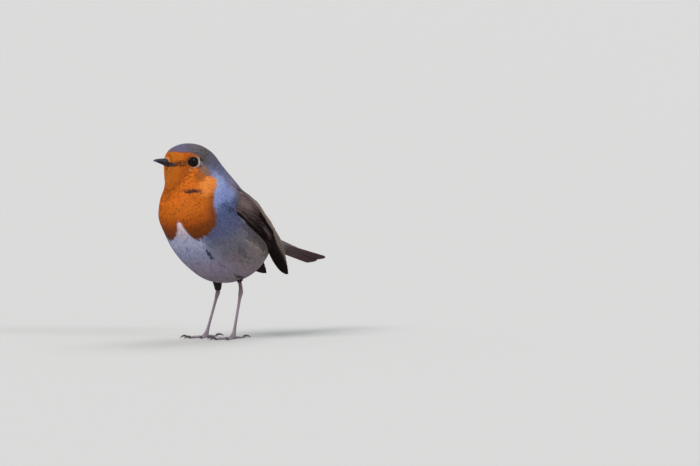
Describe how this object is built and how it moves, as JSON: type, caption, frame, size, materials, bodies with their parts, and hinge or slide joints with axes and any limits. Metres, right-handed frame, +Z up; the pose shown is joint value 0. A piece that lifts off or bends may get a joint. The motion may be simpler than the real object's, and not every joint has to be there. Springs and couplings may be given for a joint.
{
  "type": "european robin",
  "caption": "Still, life-size European robin standing alert on both feet, body inclined, wings a little drooped and head turned to its right.",
  "frame": {"origin": "bottom centre of the bounding box, on the floor under the bird's breast and belly", "axes": "the body faces -Y with the head turned towards -X, the tail points to +Y, the bird's left side is +X and up is +Z"},
  "size_m": [0.0472, 0.1292, 0.1079],
  "materials": {
    "orange_plumage": "soft matt orange body feathers",
    "pale_plumage": "soft matt whitish belly feathers, buff-grey on the flanks",
    "grey_plumage": "soft matt grey-brown feathers",
    "olive_plumage": "matt olive-brown wing coverts with paler edges",
    "wing_feathers": "smooth dark brown flight feathers with pale edges and a faint sheen",
    "tail_feathers": "smooth warm brown tail feathers",
    "bill": "smooth blackish horn with a satin sheen",
    "eye": "wet, glossy black-brown",
    "leg_scales": "satin pinkish-brown scales",
    "claws": "smooth dark horn"
  },
  "bodies": {
    "root": {"head": "orange_plumage", "neck": "orange_plumage", "breast": "orange_plumage", "belly": "pale_plumage", "rump": "grey_plumage", "thigh_left": "grey_plumage", "thigh_right": "grey_plumage", "eye_left": "eye", "eye_right": "eye", "bill_upper": "bill", "bill_lower": "bill", "tail": "tail_feathers", "wing_left_coverts": "olive_plumage", "wing_left_secondaries": "wing_feathers", "wing_left_primaries": "wing_feathers", "tarsus_left": "leg_scales", "toe_left_inner": "leg_scales", "claw_left_inner": "claws", "toe_left_middle": "leg_scales", "claw_left_middle": "claws", "toe_left_outer": "leg_scales", "claw_left_outer": "claws", "toe_left_hind": "leg_scales", "claw_left_hind": "claws", "wing_right_coverts": "olive_plumage", "wing_right_secondaries": "wing_feathers", "wing_right_primaries": "wing_feathers", "tarsus_right": "leg_scales", "toe_right_inner": "leg_scales", "claw_right_inner": "claws", "toe_right_middle": "leg_scales", "claw_right_middle": "claws", "toe_right_outer": "leg_scales", "claw_right_outer": "claws", "toe_right_hind": "leg_scales", "claw_right_hind": "claws"}
  },
  "joints": []
}
